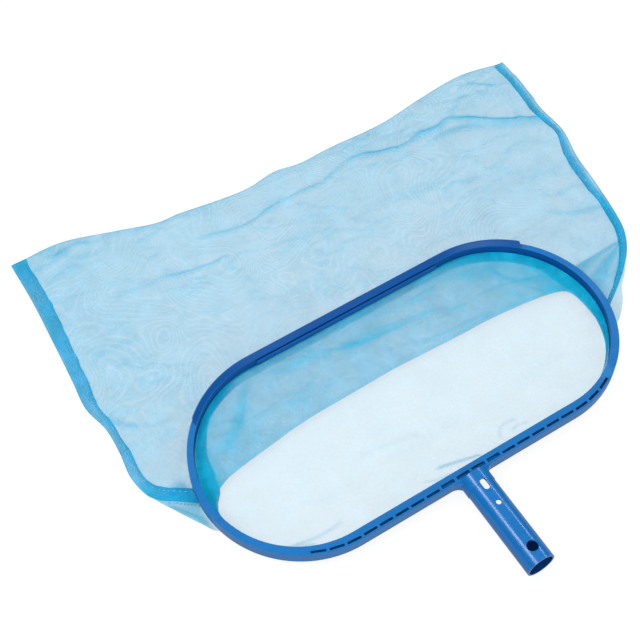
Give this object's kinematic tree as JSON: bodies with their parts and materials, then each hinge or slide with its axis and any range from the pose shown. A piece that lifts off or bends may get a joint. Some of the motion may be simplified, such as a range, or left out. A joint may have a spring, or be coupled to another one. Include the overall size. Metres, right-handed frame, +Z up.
{
  "type": "leaf skimmer net",
  "caption": "Wide rounded mouth hoop with a tubular pole socket and a deep flat see-through mesh bag, for lifting leaves off water.",
  "frame": {"origin": "centre of the pole socket's open end, on the socket's axis", "axes": "+Y runs from the socket across the mouth and along the bag, +Z points up out of the mouth, +X is to the right"},
  "size_m": [0.588, 0.543, 0.0302],
  "materials": {
    "hoop_blue": "smooth moulded blue plastic with a soft gloss",
    "lip_blue": "smooth moulded blue plastic",
    "spline_navy": "plain extruded strip, dark",
    "mesh_blue": "fine woven see-through mesh",
    "seam_blue": "folded and stitched mesh"
  },
  "bodies": {
    "frame": {"frame_hoop": "hoop_blue", "pole_socket": "hoop_blue", "leading_lip": "lip_blue", "clamp_bar": "lip_blue", "retaining_spline": "spline_navy", "mouth_hem": "seam_blue", "throat_lower_mesh": "mesh_blue", "throat_slack_mesh": "mesh_blue", "throat_seam_left": "seam_blue", "throat_seam_right": "seam_blue"},
    "bag_mid": {"mid_lower_mesh": "mesh_blue", "mid_upper_mesh": "mesh_blue", "mid_seam_left": "seam_blue", "mid_seam_right": "seam_blue"},
    "bag_tail": {"tail_mesh": "mesh_blue", "tail_seam_left": "seam_blue", "tail_seam_right": "seam_blue"}
  },
  "joints": [
    {"name": "bag_swing", "type": "hinge", "parent": "frame", "child": "bag_mid", "pos_m": [0, 0.337, -0.0123], "axis": [1, 0, 0], "range_deg": [-90, 60]},
    {"name": "bag_curl", "type": "hinge", "parent": "bag_mid", "child": "bag_tail", "pos_m": [0, 0.439, -0.0123], "axis": [1, 0, 0], "range_deg": [-85, 85]}
  ]
}
